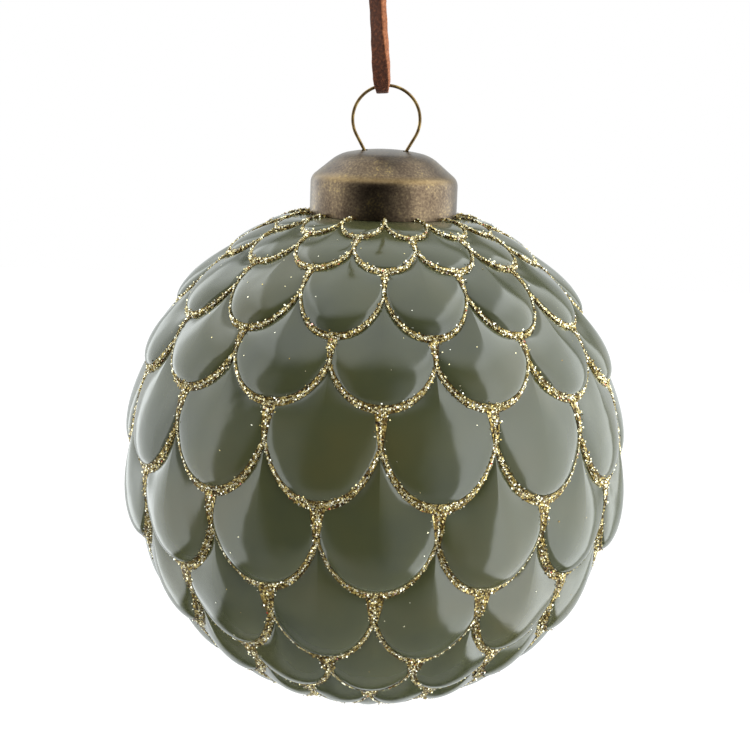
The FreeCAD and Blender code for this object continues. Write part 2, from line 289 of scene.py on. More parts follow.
def half_scale(row):
    """Poles of the unswollen skin under half a scale at azimuth 0, from its middle line to its
    right side and from the edges of the scales above down to its own lower edge."""
    above = [(1.0 - across, latitude) for across, latitude in reversed(lip(row - 1))]
    below = lip(row)
    droop = above[0][1] - above[1][1]
    poles = np.zeros((4, len(SWELL_PLACES), 3))
    for column in range(4):
        for place, share in enumerate(SWELL_PLACES):
            across = (1 - share) * above[column][0] + share * below[column][0]
            latitude = (1 - share) * above[column][1] + share * below[column][1]
            if column == 1:
                middle_latitude = (1 - share) * above[0][1] + share * below[0][1]
                latitude = middle_latitude - droop * (1 - share) ** DROOP_FADE
            drop = SHOULDER_DROP * (1 - share) if row == 1 else 0.0
            from_middle = (0.0, across, 1.0 - across, 0.0)[column]
            spread = 1 / math.cos(math.radians(from_middle * HALF_STEP))
            pole = np.array(on_spheroid(across * HALF_STEP, latitude, -drop))
            poles[column, place] = pole * (spread, spread, 1)
    return poles


HALF_SCALES = {row: half_scale(row) for row in ROWS}
BALL_CENTRE = np.array([0, 0, SHOULDER_Z - HALF_SCALES[1][0, 0, 2]])


def swelling(row, across, down):
    """How far a scale stands over its grooves, at shares across and down half of it.

    The rise grows towards the lower edge, as on overlapping shingles. Below the scale's narrow top
    it falls to the side like a hyperbola. It rolls off like the end of a superellipse, tightly at
    its side and gently at its lower edge."""
    rise = ROW_RISES[row - 1] * (spline_weights(down, SWELL_KNOTS) @ np.array(SWELL_DOWN))
    fall = CROWN_FALL * down**2 / (down**2 + CROWN_START**2)
    crown = 1 - fall * (np.sqrt(1 + (across / CROWN_WIDTH) ** 2) - 1)
    return rise * crown * np.sqrt((1 - across**SIDE_ROLL) * (1 - down**LIP_ROLL))


def on_scale(row, across, down, rise=1.0):
    """Points of a half scale at shares across and down it, and its outward normals there."""
    poles = HALF_SCALES[row]
    across, down = np.broadcast_arrays(np.asarray(across, float), np.asarray(down, float))

    def point(u, v):
        weights = spline_weights(u), spline_weights(v, SWELL_KNOTS)
        skin = np.einsum("...i,...j,ijk->...k", *weights, poles)
        return skin + unit(skin) * (rise * swelling(row, u, v))[..., None]

    small = 1e-3
    u = np.clip(across, small, 1 - small)
    v = np.clip(down, small, 1 - small)
    sideways = point(u + small, v) - point(u - small, v)
    downward = point(u, v + small) - point(u, v - small)
    return point(across, down), unit(np.cross(downward, sideways))


def row_azimuths(row):
    """Azimuths of the middle lines of a row's scales: rows alternate by half a step."""
    first = PATTERN_TURN + HALF_STEP * (row % 2)
    return first + 2 * HALF_STEP * np.arange(SCALES_PER_ROW)


def placed_round(row, grid):
    """Copies of a grid of points at each scale of a row, at the ball's place."""
    azimuths = row_azimuths(row)[:, None, None]
    return turned_about_z(grid[None], azimuths) + BALL_CENTRE


def glass_ball(material):
    """The blown ball: every scale as a grid, both halves mirrored about its middle line and each
    with its own slightly uneven rise, with the shoulder, the neck, the bottom and the inside.

    Places across crowd towards both ends, as a cosine does, so that they meet those of the rows
    above and below. Places down crowd towards the lower edge."""
    across = 0.5 - 0.5 * np.cos(np.pi * np.linspace(0, 1, 15))
    down = 1 - (1 - np.linspace(0, 1, 20)) ** 1.6
    scales = []
    for row in ROWS:
        for azimuth in row_azimuths(row):
            rise = 1 + UNEVEN_RISE * chance.uniform(-1, 1)
            right, _ = on_scale(row, across[None, :], down[:, None], rise)
            left = right[:, :0:-1] * (-1, 1, 1)
            scale = np.concatenate([left, right], axis=1)
            scales.append(turned_about_z(scale, azimuth) + BALL_CENTRE)
    grids = np.array(scales)
    points, faces = many_grids(grids)
    ball = piece_from("glass_ball_scales", points, faces, material)
    add_rest_of_glass(ball.data, grids)
    weld(ball.data, 0.02)
    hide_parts("glass_ball")
    return ball


def add_rest_of_glass(mesh, grids):
    """Closes the scales' skin: rings round the neck and inside, and a low dome at the bottom."""
    work = bmesh.new()
    work.from_mesh(mesh)
    rim_rows = {"top": grids[:SCALES_PER_ROW, 0], "bottom": grids[-SCALES_PER_ROW:, -1]}
    loops = {}
    for name, edges in rim_rows.items():
        line = edges[:, :-1].reshape(-1, 3)
        loops[name] = line[np.argsort(np.arctan2(line[:, 0], -line[:, 1]))]
    angles = np.arctan2(loops["top"][:, 0], -loops["top"][:, 1])
    bore = NECK_RADIUS - NECK_WALL
    neck_top = SHOULDER_Z + NECK_HEIGHT
    lip_foot = neck_top - NECK_LIP
    inside = np.radians(np.linspace(INSIDE_TOP_LATITUDE, -90, 14))
    radii = [NECK_RADIUS, NECK_RADIUS, NECK_RADIUS - NECK_LIP, bore + NECK_LIP, bore, bore]
    heights = [SHOULDER_Z, lip_foot, neck_top, neck_top, lip_foot, SHOULDER_Z - INSIDE_NECK_DROP]
    radii += list((GROOVE_RADIUS - GLASS_WALL) * np.cos(inside))
    inner_height = np.where(inside > 0, GROOVE_TOP_HEIGHT, GROOVE_BOTTOM_HEIGHT) - GLASS_WALL
    heights += list(BALL_CENTRE[2] + inner_height * np.sin(inside))
    add_rings(work, loops["top"], angles, radii, heights)
    angles = np.arctan2(loops["bottom"][:, 0], -loops["bottom"][:, 1])
    low = loops["bottom"][0, 2]
    dome = np.linspace(0.8, 0, 5)
    heights = low - BOTTOM_DOME_FALL * (1 - dome**2)
    add_rings(work, loops["bottom"], angles, BOTTOM_DISC_RADIUS * dome, heights)
    work.to_mesh(mesh)
    work.free()


def add_rings(work, first_ring, angles, radii, heights):
    """Adds rings of quads from a loop of points through circles of the given radii and heights."""
    rings = [first_ring]
    for radius, height in zip(radii, heights):
        ring = [radius * np.sin(angles), -radius * np.cos(angles), height + 0 * angles]
        rings.append(np.stack(ring, -1))
    points = np.concatenate(rings) * MM
    made = [work.verts.new(point) for point in points]
    for face in grid_faces(len(rings), len(angles), close_columns=True):
        work.faces.new([made[i] for i in face])


# Glitter: the band of glue along each groove, how much narrower it is on the top rows and wider
# on the low ones than on the row where the glue settled evenly, and its flakes
GLITTER_REACH_UP = 0.9
GLITTER_REACH_DOWN = 0.95
GLITTER_EVEN_ROW = 4
GLITTER_SPREAD_TOP = 0.35
GLITTER_SPREAD_LOW = 0.7
GLUE_FILL = 0.45
GLUE_SKIN = 0.03
FLAKE_SIZE = 0.155
FLAKE_LIFT = 0.16
FLAKE_TILT = 0.7
FLAKES = 97000
LOOSE_FLAKES = 420
LOOSE_TILT = 0.12
MIRROR = np.array([-1, 1, 1])


def walked(row, across, down, distances):
    """Points and normals of the skin at distances along lines of places that start at a groove."""
    points, normals = on_scale(row, across, down)
    steps = np.linalg.norm(np.diff(points, axis=1), axis=-1)
    reached = np.concatenate([np.zeros((len(points), 1)), np.cumsum(steps, axis=1)], axis=1)
    found = np.zeros((2, len(points), len(distances), 3))
    for station, walk in enumerate(reached):
        for axis in range(3):
            found[0, station, :, axis] = np.interp(distances, walk, points[station, :, axis])
            found[1, station, :, axis] = np.interp(distances, walk, normals[station, :, axis])
    return found[0], unit(found[1])


def glitter_spread(row):
    """How much wider the glitter lies on a row than on the even one: it grows over three rows both
    ways, because the glue ran downwards."""
    rows_below = (row - GLITTER_EVEN_ROW) / 3
    narrower = GLITTER_SPREAD_TOP * min(rows_below, 0)
    wider = GLITTER_SPREAD_LOW * min(max(rows_below, 0), 1)
    return 1 + narrower + wider


def draped_band(row, line):
    """Points and normals of the glue across a groove of a scale at azimuth 0: it lies on the skin
    on both sides and fills the groove's bottom.

    An edge runs under half the scale from its tip to its parting, between the scale and the one
    below. A side runs down between the scale and its right neighbour."""
    shares = np.linspace(0, 1, 40)[None, :] ** 2 * 0.3
    nearer = np.array([0.0, 0.33, 0.67, 1.0])
    reach_up, reach_down = glitter_spread(row) * np.array([GLITTER_REACH_UP, GLITTER_REACH_DOWN])
    along = np.linspace(0, 1, 13 if line == "edge" else 19)[:, None]
    if line == "edge":
        up, up_normals = walked(row, along, 1 - shares, nearer * reach_up)
        low, low_normals = walked(row + 1, 1 - along, shares, nearer * reach_down)
        low = turned_about_z(low * MIRROR, HALF_STEP)
        low_normals = turned_about_z(low_normals * MIRROR, HALF_STEP)
    else:
        up, up_normals = walked(row, 1 - shares, along, nearer * reach_up)
        low = turned_about_z(turned_about_z(up, -HALF_STEP) * MIRROR, HALF_STEP)
        low_normals = turned_about_z(turned_about_z(up_normals, -HALF_STEP) * MIRROR, HALF_STEP)
    outward = unit(up_normals[:, -1:] + low_normals[:, -1:])
    skin = np.concatenate([up[:, :0:-1], low], axis=1)
    normals = np.concatenate([up_normals[:, :0:-1], low_normals], axis=1)
    away = np.concatenate([nearer[:0:-1], nearer])[None, :, None]
    facing = unit(normals * away + outward * (1 - away))
    return skin + facing * (GLUE_SKIN + GLUE_FILL * (1 - away) ** 2), facing


def glitter_bands():
    """Points and normals of every band, as arrays of band, station, place across and coordinate."""
    points, normals = [], []
    for row in GLITTER_ROWS:
        for line in ("edge", "side"):
            band, facing = draped_band(row, line)
            halves = [(band, facing)]
            if line == "edge":
                halves.append((band * MIRROR, facing * MIRROR))
            for skin, out in halves:
                points.append(placed_round(row, skin))
                normals.append(turned_about_z(out[None], row_azimuths(row)[:, None, None]))
    return points, normals


def glue_bands(points, material):
    """The glue itself: low ribbons along the grooves, open below where they lie on the glass."""
    parts = [many_grids(band) for band in points]
    starts = np.cumsum([0] + [len(vertices) for vertices, _ in parts[:-1]])
    vertices = np.concatenate([vertices for vertices, _ in parts])
    faces = np.concatenate([faces + start for (_, faces), start in zip(parts, starts)])
    glue = piece_from("glitter_glue", vertices, faces, material)
    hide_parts("glitter_lines")
    return glue


def flake_quads(centres, normals, sizes, tilt):
    """Four-cornered flakes at their centres, each leaning at random about its normal."""
    lean = unit(normals + tilt * chance.normal(size=normals.shape))
    first = unit(np.cross(lean, chance.normal(size=lean.shape)))
    second = np.cross(lean, first) * chance.uniform(0.7, 1.0, (len(lean), 1))
    reach = sizes[:, None]
    corners = [centres + first * reach, centres + second * reach]
    corners += [centres - first * reach, centres - second * reach]
    points = np.stack(corners, 1).reshape(-1, 3)
    return points, np.arange(len(points)).reshape(-1, 4)


def flake_piece(name, centres, normals, sizes, tilt, material):
    """One piece of flakes whose tone, from 0 to 1, picks each flake's colour."""
    points, faces = flake_quads(centres, normals, sizes, tilt)
    made = piece_from(name, points, faces, material)
    made.data.shade_flat()
    tone = made.data.attributes.new("tone", "FLOAT", "FACE")
    tone.data.foreach_set("value", chance.uniform(size=len(faces)).astype(np.float32))
    return made


def flakes_on_bands(points, normals, material):
    """Flakes strewn over the bands as densely everywhere, with a few spilt beside them."""
    centres, facings = [], []
    total = sum(band_length(group).sum() for group in points)
    for group, group_normals in zip(points, normals):
        lengths = band_length(group)
        number = int(FLAKES * lengths.sum() / total)
        chosen = chance.choice(lengths.size, number, p=(lengths / lengths.sum()).ravel())
        band, station = np.divmod(chosen, lengths.shape[1])
        along = chance.uniform(size=number)[:, None]
        over = chance.normal(0, 0.52, number)
        last = group.shape[2] - 1
        place = np.clip((np.clip(over, -1, 1) + 1) / 2 * last, 0, last - 1e-3)
        column = place.astype(int)
        share = (place - column)[:, None]

        def between(values):
            start = values[band, station, column] * (1 - share)
            start = start + values[band, station, column + 1] * share
            end = values[band, station + 1, column] * (1 - share)
            end = end + values[band, station + 1, column + 1] * share
            return start * (1 - along) + end * along

        facing = unit(between(group_normals))
        spilt = np.sign(over) * np.clip(np.abs(over) - 1, 0, 0.35) * GLITTER_REACH_DOWN
        sideways = unit(group[band, station, -1] - group[band, station, 0])
        lift = chance.uniform(0.0, FLAKE_LIFT, (number, 1))
        centres.append(between(group) + sideways * spilt[:, None] + facing * lift)
        facings.append(facing)
    centres = np.concatenate(centres)
    facings = np.concatenate(facings)
    sizes = FLAKE_SIZE * chance.uniform(0.65, 1.3, len(centres))
    return flake_piece("glitter_flakes", centres, facings, sizes, FLAKE_TILT, material)


def band_length(group):
    """Lengths of each step along the middle of each band of a group."""
    middle = group[:, :, group.shape[2] // 2]
    return np.linalg.norm(np.diff(middle, axis=1), axis=-1)


def loose_flakes(material):
    """Single flakes that fell on the glass, most of them on the lower half of each scale."""
    rows = chance.choice(list(GLITTER_ROWS), LOOSE_FLAKES)
    centres, normals = [], []
    for row in GLITTER_ROWS:
        number = int((rows == row).sum())
        across = chance.uniform(0, 0.97, number)
        point, normal = on_scale(row, across, chance.uniform(0.1, 0.98, number) ** 0.7)
        side = np.where(chance.uniform(size=number) < 0.5, -1.0, 1.0)
        flip = np.stack([side, np.ones(number), np.ones(number)], -1)
        azimuths = chance.choice(row_azimuths(row), number)
        centres.append(turned_about_z(point * flip, azimuths) + BALL_CENTRE)
        normals.append(turned_about_z(normal * flip, azimuths))
    normals = np.concatenate(normals)
    centres = np.concatenate(centres) + normals * GLUE_SKIN
    sizes = FLAKE_SIZE * chance.uniform(0.5, 1.0, len(centres))
    return flake_piece("loose_flakes", centres, normals, sizes, LOOSE_TILT, material)


def rounded(corners, radii, steps=12):
    """A line through corners in a plane, each inner corner replaced by an arc of its radius."""
    corners = [np.asarray(corner, float) for corner in corners]
    line = [corners[0]]
    for before, corner, after, radius in zip(corners, corners[1:], corners[2:], radii):
        inwards = unit(before - corner)
        onwards = unit(after - corner)
        opening = math.acos(float(np.clip(inwards @ onwards, -1, 1)))
        setback = radius / math.tan(opening / 2)
        centre = corner + unit(inwards + onwards) * radius / math.sin(opening / 2)
        start = corner + inwards * setback - centre
        end = corner + onwards * setback - centre
        sweep = math.pi - opening
        for step in np.linspace(0, 1, steps):
            spread = math.sin((1 - step) * sweep), math.sin(step * sweep)
            line.append(centre + (start * spread[0] + end * spread[1]) / math.sin(sweep))
    line.append(corners[-1])
    return np.array(line)


def refined(line, longest):
    """The same line with points added so that no run is longer than a length."""
    pieces = []
    for start, end in zip(line, line[1:]):
        count = max(1, int(math.ceil(np.linalg.norm(end - start) / longest)))
        pieces.append(start + (end - start) * np.arange(count)[:, None] / count)
    return np.concatenate([*pieces, line[-1:]])


def arc(centre, radius, start, end, steps):
    """Points of a circle in a plane between two directions in radians."""
    angles = np.linspace(start, end, steps)
    return centre + radius * np.stack([np.cos(angles), np.sin(angles)], -1)


def cap_profile(sheet):
    """Radius and height of the cap's outline, a sheet's thickness inside the outer one.

    A fillet touches the cone, and the domed crown from inside: its centre is its own radius away
    from the cone, and the crown's radius less its own away from the crown's centre."""
    radius = CAP_RADIUS - sheet
    top = CAP_HEIGHT - sheet
    crown_edge = np.array([CAP_CROWN_RADIUS, top - CAP_CROWN_RISE])
    skirt = rounded([(radius, 0), (radius, CAP_SKIRT), crown_edge], [CAP_SHOULDER_FILLET - sheet])
    crown_centre = np.array([0, top - CROWN_CURVE])
    fillet = CAP_CROWN_FILLET - sheet
    along = unit(crown_edge - skirt[-2])
    inward = np.array([-along[1], along[0]])
    start = crown_edge + inward * fillet - crown_centre
    reach = start @ along
    slide = math.sqrt(reach**2 - start @ start + (CROWN_CURVE - fillet) ** 2) - reach
    centre = crown_centre + start + along * slide
    cone_angle = math.atan2(-inward[1], -inward[0])
    crown_angle = math.atan2(*(centre - crown_centre)[::-1])
    bend = arc(centre, fillet, cone_angle, crown_angle, 16)
    crown = arc(crown_centre, CROWN_CURVE, crown_angle, math.pi / 2, 16)
    return np.concatenate([skirt[:-1], bend, crown[1:]])


def ring_arm():
    """Where the right arm leaves the ring, where it enters the cap, and its direction there."""
    centre = np.array([0.0, RING_CENTRE_Z])
    crown_fall = CROWN_CURVE - math.sqrt(CROWN_CURVE**2 - SLIT_OFFSET**2)
    entry = np.array([SLIT_OFFSET, CAP_TOP_Z - crown_fall])
    reach = np.linalg.norm(entry - centre)
    swing = math.acos(RING_RADIUS / reach)
    leaving = math.atan2(entry[1] - centre[1], entry[0] - centre[0]) + swing
    touch = centre + RING_RADIUS * np.array([math.cos(leaving), math.sin(leaving)])
    return touch, entry, unit(entry - touch), leaving


def brass_cap(material):
    """The pressed cap: its outline turned about the Z axis as a closed sheet, with a slit cut
    through the crown for each arm of the ring."""
    outer = refined(cap_profile(0.0), 0.5)
    inner = refined(cap_profile(CAP_SHEET), 0.5)
    profile = np.concatenate([outer, inner[::-1]])
    angles = np.linspace(0, 2 * np.pi, 160, endpoint=False)
    ring = np.stack([np.sin(angles), -np.cos(angles)], -1)
    flat = profile[:, None, :1] * ring[None]
    heights = np.broadcast_to(profile[:, None, 1:], (len(profile), len(angles), 1))
    points = np.concatenate([flat, heights + CAP_TOP_Z - CAP_HEIGHT], -1)
    faces = grid_faces(len(profile), len(angles), close_rows=True, close_columns=True)
    cap = piece_from("brass_cap", points.reshape(-1, 3), faces, material)
    weld(cap.data, 0.01)
    _, entry, straight, _ = ring_arm()
    middle = entry[0] + straight[0] * CAP_SHEET / 2
    for side in (-1, 1):
        cut_box(cap, (side * middle, 0, CAP_TOP_Z), (SLIT_WIDTH, SLIT_LENGTH, SLIT_CUT))
    cap.data.shade_smooth()
    cap.data.set_sharp_from_angle(angle=math.radians(40))
    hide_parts("cap")
    return cap


def cut_box(piece, centre, size):
    """Takes a box out of a piece."""
    work = bmesh.new()
    bmesh.ops.create_cube(work, size=MM)
    bmesh.ops.scale(work, vec=size, verts=work.verts)
    bmesh.ops.translate(work, vec=np.array(centre) * MM, verts=work.verts)
    tool_mesh = bpy.data.meshes.new("slit_tool")
    work.to_mesh(tool_mesh)
    work.free()
    tool = bpy.data.objects.new("slit_tool", tool_mesh)
    bpy.context.scene.collection.objects.link(tool)
    cut = piece.modifiers.new("slit", "BOOLEAN")
    cut.operation = "DIFFERENCE"
    cut.solver = "EXACT"
    cut.object = tool
    graph = bpy.context.evaluated_depsgraph_get()
    done = bpy.data.meshes.new_from_object(piece.evaluated_get(graph))
    piece.modifiers.clear()
    piece.data = done
    bpy.data.objects.remove(tool)
    bpy.data.meshes.remove(tool_mesh)


def round_tube(name, line, normals, radius, sides, material):
    """A tube of circles across a line of points: each circle is spanned by the line's own normal
    and the direction at right angles to both. Its ends are closed to a point."""
    tangents = unit(np.gradient(line, axis=0))
    second = np.cross(tangents, normals)
    angles = np.linspace(0, 2 * np.pi, sides, endpoint=False)[None, :, None]
    circle = np.cos(angles) * normals[:, None] + np.sin(angles) * second[:, None]
    points = line[:, None] + radius * circle
    start = np.broadcast_to(line[:1, None], (1, sides, 3))
    end = np.broadcast_to(line[-1:, None], (1, sides, 3))
    points = np.concatenate([start, points, end])
    faces = grid_faces(len(points), sides, close_columns=True)
    made = piece_from(name, points.reshape(-1, 3), faces, material)
    weld(made.data, 0.001)
    return made


def wire_ring(material):
    """The ring and its legs, one bent wire in the XZ plane."""
    touch, entry, straight, leaving = ring_arm()
    knee = entry + straight * (CAP_SHEET + LEG_BEND_RADIUS)
    sprung_out = NECK_RADIUS - NECK_WALL - WIRE_RADIUS - LEG_END_CLEARANCE
    foot = np.array([sprung_out, CAP_TOP_Z - LEG_DEPTH])
    leg = rounded([touch, knee, foot], [LEG_BEND_RADIUS])
    sweep = np.linspace(leaving, np.pi - leaving, 90)
    eye = np.stack([RING_RADIUS * np.cos(sweep), RING_CENTRE_Z + RING_RADIUS * np.sin(sweep)], -1)
    flat = np.concatenate([leg[::-1], eye[1:-1], leg * (-1, 1)])
    flat = refined(flat, 0.4)
    line = np.stack([flat[:, 0], 0 * flat[:, 0], flat[:, 1]], -1)
    across = np.broadcast_to([0.0, 1.0, 0.0], line.shape)
    wire = round_tube("wire_ring", line, across, WIRE_RADIUS, 16, material)
    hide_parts("hanger_wire")
    return wire


def leaned(points):
    """Points turned about the ring's centre and moved along the ring, as the lace hangs."""
    angle = math.radians(LACE_LEAN)
    x = points[..., 0]
    z = points[..., 2] - RING_CENTRE_Z
    side = x * math.cos(angle) - z * math.sin(angle)
    up = x * math.sin(angle) + z * math.cos(angle)
    return np.stack([side + LACE_SHIFT, points[..., 1], up + RING_CENTRE_Z], -1)


def lace_route():
    """The lace's line as a NURBS curve: up each strand from the fold under the ring's wire."""
    low = WIRE_RADIUS - LACE_BEND + LACE_FOLD_RISE
    corner = LACE_BEND + 0.5
    side = [(LACE_BEND, LACE_HEIGHT), (LACE_BEND, 17.0), (LACE_BEND, 6.0), (corner, low)]
    route = [(0, -y, z) for y, z in side] + [(0, y, z) for y, z in reversed(side)]
    points = leaned(np.array(route, float)) * MM
    curve = bpy.data.curves.new("lace_route", "CURVE")
    curve.dimensions = "3D"
    spline = curve.splines.new("NURBS")
    spline.points.add(len(points) - 1)
    for place, point in zip(spline.points, points):
        place.co = (*point, 1)
    spline.order_u = 3
    spline.use_endpoint_u = True
    spline.resolution_u = 24
    holder = bpy.data.objects.new("lace_route", curve)
    bpy.context.scene.collection.objects.link(holder)
    line = bpy.data.meshes.new_from_object(holder)
    path = np.array([vertex.co[:] for vertex in line.vertices]) / MM
    bpy.data.objects.remove(holder)
    return path


def band_section(steps):
    """The lace's section, a superellipse close to a rectangle, as its places across and through
    the band, and how much of each point is its cut edge."""
    angles = np.linspace(0, 2 * np.pi, steps, endpoint=False)
    cosine, sine = np.cos(angles), np.sin(angles)
    across = np.sign(cosine) * np.abs(cosine) ** LACE_CORNER
    through = np.sign(sine) * np.abs(sine) ** LACE_CORNER
    edge = np.clip((np.abs(across) - 0.86) / 0.12, 0, 1)
    return across * LACE_WIDTH / 2, through * LACE_THICKNESS / 2, edge


def band_along(path, wide, width=1.0, thickness=1.0):
    """Points, faces and cut-edge values of a flat band along a path, with both ends closed.

    wide is the direction of its width at each point, and width and thickness scale its section."""
    tangents = unit(np.gradient(path, axis=0))
    wide = unit(wide - tangents * (wide * tangents).sum(-1, keepdims=True))
    thin = np.cross(tangents, wide)
    across, through, edge = band_section(28)
    width, thickness = np.broadcast_arrays(width, thickness, np.zeros(len(path)))[:2]
    points = path[:, None] + wide[:, None] * (across * width[:, None])[..., None]
    points = points + thin[:, None] * (through * thickness[:, None])[..., None]
    length = np.concatenate([[0], np.cumsum(np.linalg.norm(np.diff(path, axis=0), axis=1))])
    wobble = 0.03 * np.sin(length * 1.9)[:, None] + chance.normal(0, 0.012, points.shape[:2])
    points = points + wobble[..., None] * unit(points - path[:, None])
    start = np.broadcast_to(path[:1, None], (1, len(across), 3))
    end = np.broadcast_to(path[-1:, None], (1, len(across), 3))
    points = np.concatenate([start, points, end])
    faces = grid_faces(len(points), len(across), close_columns=True)
    return points.reshape(-1, 3), faces, np.tile(edge, len(points))


def suede_piece(name, bands, material):
    """One piece from several bands, with their cut edges marked for the material."""
    starts = np.cumsum([0] + [len(points) for points, _, _ in bands[:-1]])
    points = np.concatenate([points for points, _, _ in bands])
    faces = np.concatenate([faces + start for (_, faces, _), start in zip(bands, starts)])
    made = piece_from(name, points, faces, material)
    cut = made.data.attributes.new("cut_edge", "FLOAT", "POINT")
    cut.data.foreach_set("value", np.concatenate([edge for _, _, edge in bands]).astype(np.float32))
    weld(made.data, 0.001)
    return made


def suede_lace(material, knot):
    """The lace: a flat band carried along its route, a little skewed and pressed thin where it
    folds under the wire, like a bell curve of its height there. Above it the band turns about
    itself by a smooth step."""
    path = refined(lace_route(), 0.4)
    lean = math.radians(LACE_LEAN)
    sideways = np.array([math.cos(lean), 0, math.sin(lean)])
    rise = np.clip((path[:, 2] - LACE_TURN_START) / LACE_TURN_RUN, 0, 1)
    turn = LACE_TURN_AT_FOLD + (LACE_TURN - LACE_TURN_AT_FOLD) * (3 * rise**2 - 2 * rise**3)
    turn = np.radians(turn)[:, None]
    wide = sideways * np.cos(turn) - np.array([0, 1, 0]) * np.sin(turn)
    low = np.exp(-(((path[:, 2] - path[:, 2].min()) / LACE_PINCH_RUN) ** 2))
    band = band_along(path, wide, 1 - LACE_PINCH_WIDTH * low, 1 - LACE_PINCH_THICKNESS * low)
    lace = suede_piece("lace_band", [band], material)
    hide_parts("suede_lace")
    return lace


def knot_strand(side):
    """One strand through the knot: from the lace up its core and out of its top as a free tail."""
    spread = math.radians(TAIL_SPREAD)
    reach = KNOT_SIZE[2] / 2 + TAIL_LENGTH
    up = np.linspace(0, 1, 60)
    middle = LACE_HEIGHT + KNOT_SIZE[2] / 2
    tail = np.clip((up - 0.25) / 0.75, 0, 1)
    x = side * (LACE_WIDTH / 3 * np.sqrt(tail) + reach * math.sin(spread) * tail**1.3)
    x = x + 0.25 * np.sin(5.0 * tail + side) * tail
    y = side * LACE_BEND * (1 - 0.35 * np.sin(np.pi * np.clip(up / 0.5, 0, 1)))
    top = middle + reach * math.cos(spread)
    z = LACE_HEIGHT - 0.3 + (top - 0.4 - LACE_HEIGHT) * up
    path = np.stack([x, y, z], -1)
    turn = np.radians(LACE_TURN * (1 - up) + side * 18 * tail)[:, None]
    wide = np.array([1.0, 0, 0]) * np.cos(turn) - np.array([0, 1.0, 0]) * np.sin(turn)
    return leaned(path), leaned(path + wide) - leaned(path)


def knot_wrap(offset):
    """One strand of the turn round the knot: a helix on an ellipsoid that goes into the core at
    the back, above where it starts and below where it ends."""
    theta = np.linspace(-255, 255, 110)
    inside = np.clip((np.abs(theta) - 185) / 60, 0, 1)
    z = -KNOT_PITCH * theta / 360 + offset
    z = z * (1 - 0.35 * inside)
    shell = np.sqrt(1 - (z / KNOT_ROUNDING) ** 2) * (1 - 0.62 * inside**1.5)
    reach_x = KNOT_SIZE[0] / 2 - LACE_THICKNESS / 2 - 0.1
    reach_y = KNOT_SIZE[1] / 2 - LACE_THICKNESS / 2 - 0.1
    angle = np.radians(theta + 30)
    x = reach_x * shell * np.sin(angle)
    y = -reach_y * shell * np.cos(angle)
    path = np.stack([x, y, z + LACE_HEIGHT + KNOT_SIZE[2] / 2], -1)
    slope = -z / KNOT_ROUNDING
    wide = np.stack([slope * np.sin(angle), -slope * np.cos(angle), np.ones_like(angle)], -1)
    return leaned(path), leaned(path + wide) - leaned(path)


def overhand_knot(material):
    """The knot that ties both ends: two strands up its core, with their free tails, and the same
    two lying side by side in one turn round them, drawn tight."""
    bands = [band_along(*knot_strand(side), 0.92) for side in (-1, 1)]
    offsets = (-KNOT_STRAND_OFFSET, KNOT_STRAND_OFFSET)
    bands += [band_along(*knot_wrap(offset), 0.86) for offset in offsets]
    knot = suede_piece("overhand_knot", bands, material)
    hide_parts("lace_knot")
    return knot


def sage_lacquer():
    """Blown glass under a sage green lacquer: a smooth glossy skin, faintly wavy from the mould,
    over a colour that drifts between grey green and olive."""
    material, tree = new_material("sage_lacquered_glass")
    place = node(tree, "ShaderNodeTexCoord").outputs["Object"]
    drift = node(
        tree, "ShaderNodeTexNoise", {"Vector": place, "Scale": 1 / (14 * MM), "Detail": 3.0}
    )
    stops = [(0.3, "#2e3122"), (0.5, "#343622"), (0.72, "#383720")]
    colour = ramp(tree, drift.outputs["Fac"], stops)
    wave = node(
        tree, "ShaderNodeTexNoise", {"Vector": place, "Scale": 1 / (5 * MM), "Detail": 1.5}
    )
    bump = node(
        tree,
        "ShaderNodeBump",
        {"Height": wave.outputs["Fac"], "Distance": 0.25 * MM, "Strength": 0.5},
    )
    shader = node(
        tree,
        "ShaderNodeBsdfPrincipled",
        {"Base Color": colour, "Roughness": 0.14, "IOR": 1.5, "Normal": bump.outputs["Normal"]},
    )
    node(tree, "ShaderNodeOutputMaterial", {"Surface": shader.outputs[0]})
    return material


def gold_glue():
    """Amber glue with the glitter sunk in it: dark gold between the flakes that stand up."""
    material, tree = new_material("gold_glitter_glue")
    place = node(tree, "ShaderNodeTexCoord").outputs["Object"]
    grains = node(tree, "ShaderNodeTexVoronoi", {"Vector": place, "Scale": 1 / (0.3 * MM)})
    tint = node(tree, "ShaderNodeSeparateColor", {"Color": grains.outputs["Color"]})
    stops = [(0.0, "#2c200c"), (0.5, "#54401a"), (0.85, "#96803e"), (1.0, "#d6c486")]
    colour = ramp(tree, tint.outputs["Red"], stops)
    bump = node(
        tree,
        "ShaderNodeBump",
        {"Height": grains.outputs["Distance"], "Distance": 0.2 * MM, "Strength": 0.8},
    )
    shader = node(
        tree,
        "ShaderNodeBsdfPrincipled",
        {
            "Base Color": colour,
            "Metallic": 0.7,
            "Roughness": 0.35,
            "Normal": bump.outputs["Normal"],
        },
    )
    node(tree, "ShaderNodeOutputMaterial", {"Surface": shader.outputs[0]})
    return material


def gold_flakes():
    """Metallised glitter film: pale gold for most flakes, some near white as painted highlights, a
    few brown as painted shade, and now and then a red one."""
    material, tree = new_material("gold_glitter_flakes")
    tone = node(tree, "ShaderNodeAttribute", attribute_name="tone").outputs["Fac"]
    # stops from brown, as painted shade, through pale gold to near white, as painted highlights,
    # dealt to the flakes at random; the last stop is a red flake
    stops = [
        (0.0, "#745a28"),
        (0.2, "#bca866"),
        (0.42, "#ece0ac"),
        (0.7, "#fff8d8"),
        (0.985, "#fffef0"),
        (0.997, "#c0442c"),
    ]
    colour = ramp(tree, tone, stops)
    shader = node(
        tree,
        "ShaderNodeBsdfPrincipled",
        {"Base Color": colour, "Metallic": 0.8, "Roughness": 0.2},
    )
    node(tree, "ShaderNodeOutputMaterial", {"Surface": shader.outputs[0]})
    return material


